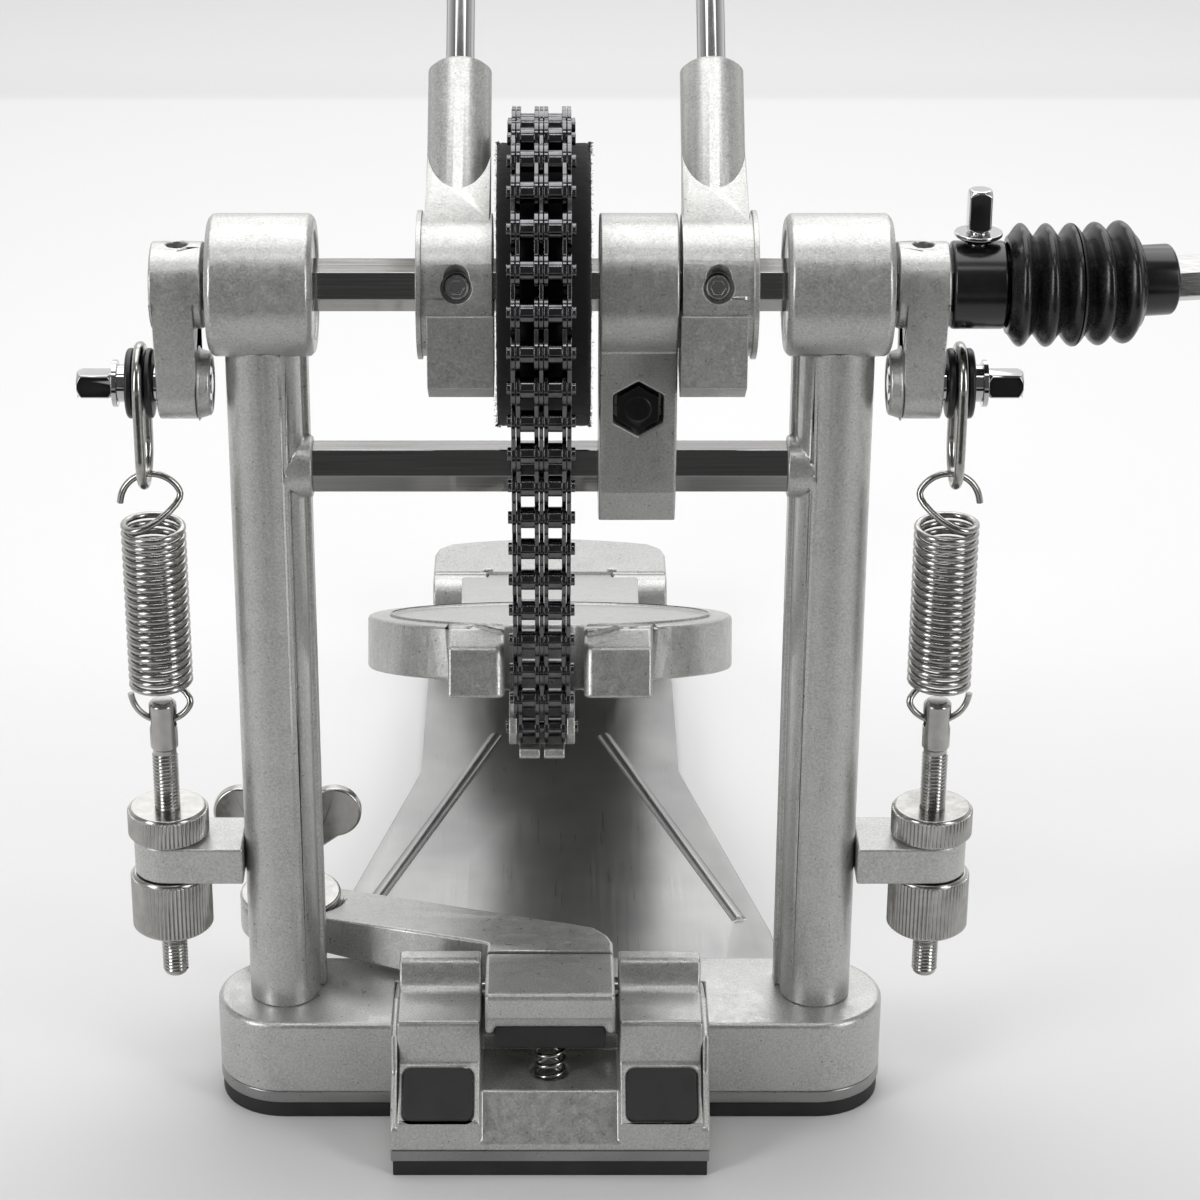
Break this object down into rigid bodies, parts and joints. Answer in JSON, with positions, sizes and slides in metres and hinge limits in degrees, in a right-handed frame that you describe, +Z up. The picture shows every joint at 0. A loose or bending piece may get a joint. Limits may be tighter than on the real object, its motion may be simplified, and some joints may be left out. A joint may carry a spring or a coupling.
{
  "type": "double bass drum pedal",
  "caption": "Chain-driven double bass drum pedal, main unit: two lean-back beaters on split axles, tension springs, hoop clamp and drive coupling.",
  "frame": {"origin": "on the floor under the axle, midway between the towers", "axes": "+X to the drive coupling's side (the right as seen from the drum), +Y from the drum towards the player's heel, +Z up"},
  "size_m": [0.3816, 0.3453, 0.3853],
  "materials": {
    "cast_aluminium": "rough cast, grey-silver",
    "rolled_steel": "flat steel plate",
    "bright_steel": "drawn bar and turned nuts",
    "chromed_steel": "bright plated",
    "black_steel": "oiled black",
    "pad_rubber": "matt black",
    "black_felt": "felt",
    "white_felt": "pressed felt",
    "black_nylon": "turned",
    "zinc_wire": "drawn wire"
  },
  "bodies": {
    "frame": {"base_casting": "cast_aluminium", "floor_plate": "rolled_steel", "rubber_pads": "pad_rubber", "tower_left": "cast_aluminium", "tower_right": "cast_aluminium", "axle_bearings": "bright_steel", "crossbar": "bright_steel", "centre_block": "cast_aluminium", "centre_bolt": "black_steel", "spring_brackets": "cast_aluminium", "lock_nuts": "bright_steel", "heel_block": "cast_aluminium", "heel_pin": "bright_steel", "clamp_block": "cast_aluminium", "clamp_pin": "bright_steel", "clamp_spring": "zinc_wire"},
    "lever": {"clamp_lever": "cast_aluminium", "lever_pad": "pad_rubber"},
    "wing": {"wing_bolt": "bright_steel"},
    "cam_shaft": {"cam_axle": "bright_steel", "cam": "cast_aluminium", "cam_felt": "black_felt", "wrapped_chain": "black_steel", "beater_hub_left": "cast_aluminium", "hub_screw_left": "chromed_steel", "rocker_left": "cast_aluminium", "hanger_bolt_left": "black_steel"},
    "beater_left": {"beater_rod_left": "chromed_steel", "beater_head_left": "white_felt"},
    "link_4": {"chain_link_4": "black_steel"},
    "link_3": {"chain_link_3": "black_steel"},
    "link_2": {"chain_link_2": "black_steel"},
    "link_1": {"chain_link_1": "black_steel"},
    "chain": {"chain_run": "black_steel"},
    "board": {"footboard": "cast_aluminium", "chain_clip": "cast_aluminium"},
    "drive_shaft": {"drive_axle": "bright_steel", "beater_hub_right": "cast_aluminium", "hub_screw_right": "chromed_steel", "rocker_right": "cast_aluminium", "hanger_bolt_right": "chromed_steel", "input_coupler": "black_steel", "coupler_bolt": "chromed_steel"},
    "beater_right": {"beater_rod_right": "chromed_steel", "beater_head_right": "white_felt"},
    "wheel_left": {"hanger_wheel_left": "black_nylon"},
    "wheel_right": {"hanger_wheel_right": "black_nylon"},
    "screw_left": {"tension_rod_left": "bright_steel"},
    "screw_right": {"tension_rod_right": "bright_steel"},
    "adjuster_left": {"adjuster_left": "bright_steel"},
    "adjuster_right": {"adjuster_right": "bright_steel"},
    "coil_left": {"spring_left": "zinc_wire"},
    "coil_right": {"spring_right": "zinc_wire"},
    "ring_left": {"hanger_ring_left": "zinc_wire"},
    "ring_right": {"hanger_ring_right": "zinc_wire"},
    "cross": {"joint_cross": "bright_steel"},
    "bar": {"output_coupler": "black_steel", "drive_bar": "chromed_steel", "boot": "pad_rubber"}
  },
  "joints": [
    {"name": "cam_axle_turn", "type": "hinge", "parent": "frame", "child": "cam_shaft", "pos_m": [0, 0, 0.222], "axis": [1, 0, 0], "range_deg": [0, 45], "stiffness_Nm_per_rad": 1.1, "springref_deg": -51.57},
    {"name": "drive_axle_turn", "type": "hinge", "parent": "frame", "child": "drive_shaft", "pos_m": [0, 0, 0.222], "axis": [1, 0, 0], "range_deg": [0, 45], "stiffness_Nm_per_rad": 1.1, "springref_deg": -51.57},
    {"name": "beater_height_left", "type": "slide", "parent": "cam_shaft", "child": "beater_left", "axis": [0, 0.7071, 0.7071], "range_m": [-0.01, 0.02]},
    {"name": "beater_height_right", "type": "slide", "parent": "drive_shaft", "child": "beater_right", "axis": [0, 0.7071, 0.7071], "range_m": [-0.01, 0.02]},
    {"name": "link_4_turn", "type": "hinge", "parent": "cam_shaft", "child": "link_4", "pos_m": [-0.002, -0.02982, 0.24555], "axis": [1, 0, 0], "range_deg": [-6.5, 0.5]},
    {"name": "link_3_turn", "type": "hinge", "parent": "link_4", "child": "link_3", "pos_m": [-0.002, -0.03474, 0.23739], "axis": [1, 0, 0], "range_deg": [-14, 0.5]},
    {"name": "link_2_turn", "type": "hinge", "parent": "link_3", "child": "link_2", "pos_m": [-0.002, -0.03748, 0.22827], "axis": [1, 0, 0], "range_deg": [-14, 0.5]},
    {"name": "link_1_turn", "type": "hinge", "parent": "link_2", "child": "link_1", "pos_m": [-0.002, -0.03786, 0.21875], "axis": [1, 0, 0], "range_deg": [-14.5, 0.5]},
    {"name": "chain_turn", "type": "hinge", "parent": "link_1", "child": "chain", "pos_m": [-0.002, -0.03594, 0.20943], "axis": [1, 0, 0], "range_deg": [-5, 0.5]},
    {"name": "footboard_tilt", "type": "hinge", "parent": "frame", "child": "board", "pos_m": [0, 0.262, 0.023], "axis": [1, 0, 0], "range_deg": [0, 7]},
    {"name": "hanger_wheel_turn_left", "type": "hinge", "parent": "cam_shaft", "child": "wheel_left", "pos_m": [-0.0986, 0, 0.197], "axis": [1, 0, 0], "continuous": true},
    {"name": "adjuster_turn_left", "type": "hinge", "parent": "frame", "child": "adjuster_left", "pos_m": [-0.0974, 0, 0.056], "axis": [0, 0, 1], "range_deg": [0, 1080]},
    {"name": "spring_tension_left", "type": "slide", "parent": "frame", "child": "screw_left", "axis": [0, 0, 1], "range_m": [0, 0.003]},
    {"name": "spring_swing_left", "type": "hinge", "parent": "screw_left", "child": "coil_left", "pos_m": [-0.0974, 0, 0.1066], "axis": [1, 0, 0], "range_deg": [-11, 0.5]},
    {"name": "spring_stretch_left", "type": "slide", "parent": "coil_left", "child": "ring_left", "axis": [0, 0, 1], "range_m": [0, 0.0088], "deforming": ["spring_left"]},
    {"name": "hanger_wheel_turn_right", "type": "hinge", "parent": "drive_shaft", "child": "wheel_right", "pos_m": [0.0986, 0, 0.197], "axis": [1, 0, 0], "continuous": true},
    {"name": "adjuster_turn_right", "type": "hinge", "parent": "frame", "child": "adjuster_right", "pos_m": [0.0974, 0, 0.056], "axis": [0, 0, 1], "range_deg": [0, 1080]},
    {"name": "spring_tension_right", "type": "slide", "parent": "frame", "child": "screw_right", "axis": [0, 0, 1], "range_m": [0, 0.003]},
    {"name": "spring_swing_right", "type": "hinge", "parent": "screw_right", "child": "coil_right", "pos_m": [0.0974, 0, 0.1066], "axis": [1, 0, 0], "range_deg": [-11, 0.5]},
    {"name": "spring_stretch_right", "type": "slide", "parent": "coil_right", "child": "ring_right", "axis": [0, 0, 1], "range_m": [0, 0.0088], "deforming": ["spring_right"]},
    {"name": "lever_tilt", "type": "hinge", "parent": "frame", "child": "lever", "pos_m": [0, -0.012, 0.036], "axis": [1, 0, 0], "range_deg": [0, 3.7], "deforming": ["clamp_spring"]},
    {"name": "wing_bolt_turn", "type": "hinge", "parent": "lever", "child": "wing", "pos_m": [-0.0696, 0.0315, 0.04], "axis": [0, 0, 1], "range_deg": [0, 720]},
    {"name": "joint_cross_turn", "type": "hinge", "parent": "drive_shaft", "child": "cross", "pos_m": [0.124, 0, 0.222], "axis": [0, 0, 1], "range_deg": [-35, 15]},
    {"name": "drive_bar_turn", "type": "hinge", "parent": "cross", "child": "bar", "pos_m": [0.124, 0, 0.222], "axis": [-0.1736, 0.9848, 0], "range_deg": [-25, 25], "deforming": ["boot"]}
  ],
  "couplings": [
    {"joint": "link_4_turn", "follows": "cam_axle_turn", "ratio": -0.1325},
    {"joint": "link_3_turn", "follows": "cam_axle_turn", "ratio": -0.2965},
    {"joint": "link_2_turn", "follows": "cam_axle_turn", "ratio": -0.298},
    {"joint": "link_1_turn", "follows": "cam_axle_turn", "ratio": -0.307},
    {"joint": "chain_turn", "follows": "cam_axle_turn", "ratio": -0.0944},
    {"joint": "footboard_tilt", "follows": "cam_axle_turn", "ratio": 0.1496},
    {"joint": "spring_swing_left", "follows": "cam_axle_turn", "ratio": -0.239},
    {"joint": "spring_stretch_left", "follows": "cam_axle_turn", "m_per_rad": 0.011014},
    {"joint": "adjuster_turn_left", "follows": "spring_tension_left", "rad_per_m": 6283.2},
    {"joint": "spring_swing_right", "follows": "drive_axle_turn", "ratio": -0.239},
    {"joint": "spring_stretch_right", "follows": "drive_axle_turn", "m_per_rad": 0.011014},
    {"joint": "adjuster_turn_right", "follows": "spring_tension_right", "rad_per_m": 6283.2},
    {"joint": "wing_bolt_turn", "follows": "lever_tilt", "ratio": 194}
  ]
}
